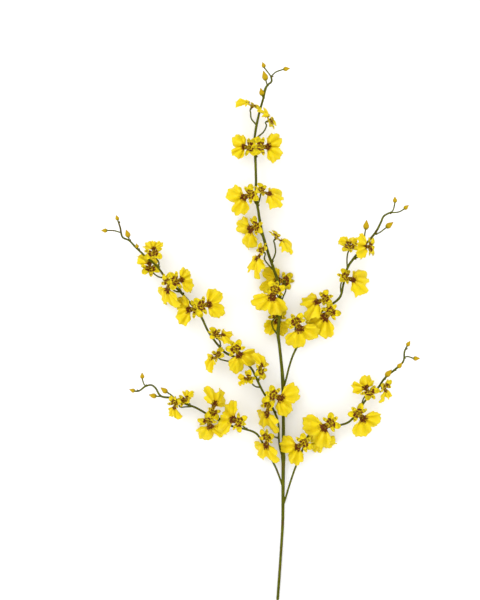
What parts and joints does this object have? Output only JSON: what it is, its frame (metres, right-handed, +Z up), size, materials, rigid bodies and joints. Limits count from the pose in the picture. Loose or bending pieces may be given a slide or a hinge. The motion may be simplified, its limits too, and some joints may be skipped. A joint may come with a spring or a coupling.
{
  "type": "cut oncidium orchid spray",
  "caption": "Cut branching oncidium orchid spray with small yellow two-lobed ruffled blooms and buds on thin olive stems, lying on a surface.",
  "frame": {"origin": "on the table under the middle of the spray's bounding box", "axes": "+Y from the cut end of the stem to the flowering tip, +X to the right seen from above, +Z up from the table"},
  "size_m": [0.4147, 0.7035, 0.0522],
  "materials": {
    "petals": "satin",
    "stems": "satin"
  },
  "bodies": {
    "root": {"bloom_left_lower_1": "petals", "bloom_left_lower_2": "petals", "bloom_left_lower_3": "petals", "bloom_left_lower_4": "petals", "bloom_left_lower_5": "petals", "bloom_left_upper_1": "petals", "bloom_left_upper_10": "petals", "bloom_left_upper_11": "petals", "bloom_left_upper_12": "petals", "bloom_left_upper_13": "petals", "bloom_left_upper_14": "petals", "bloom_left_upper_2": "petals", "bloom_left_upper_3": "petals", "bloom_left_upper_4": "petals", "bloom_left_upper_5": "petals", "bloom_left_upper_6": "petals", "bloom_left_upper_7": "petals", "bloom_left_upper_8": "petals", "bloom_left_upper_9": "petals", "bloom_main_1": "petals", "bloom_main_10": "petals", "bloom_main_11": "petals", "bloom_main_12": "petals", "bloom_main_2": "petals", "bloom_main_3": "petals", "bloom_main_4": "petals", "bloom_main_5": "petals", "bloom_main_6": "petals", "bloom_main_7": "petals", "bloom_main_8": "petals", "bloom_main_9": "petals", "bloom_right_lower_1": "petals", "bloom_right_lower_2": "petals", "bloom_right_lower_3": "petals", "bloom_right_lower_4": "petals", "bloom_right_lower_5": "petals", "bloom_right_lower_6": "petals", "bloom_right_upper_1": "petals", "bloom_right_upper_2": "petals", "bloom_right_upper_3": "petals", "bloom_right_upper_4": "petals", "bloom_right_upper_5": "petals", "bloom_right_upper_6": "petals", "left_lower_branch": "stems", "left_upper_branch": "stems", "main_stem": "stems", "right_lower_branch": "stems", "right_upper_branch": "stems"}
  },
  "joints": []
}
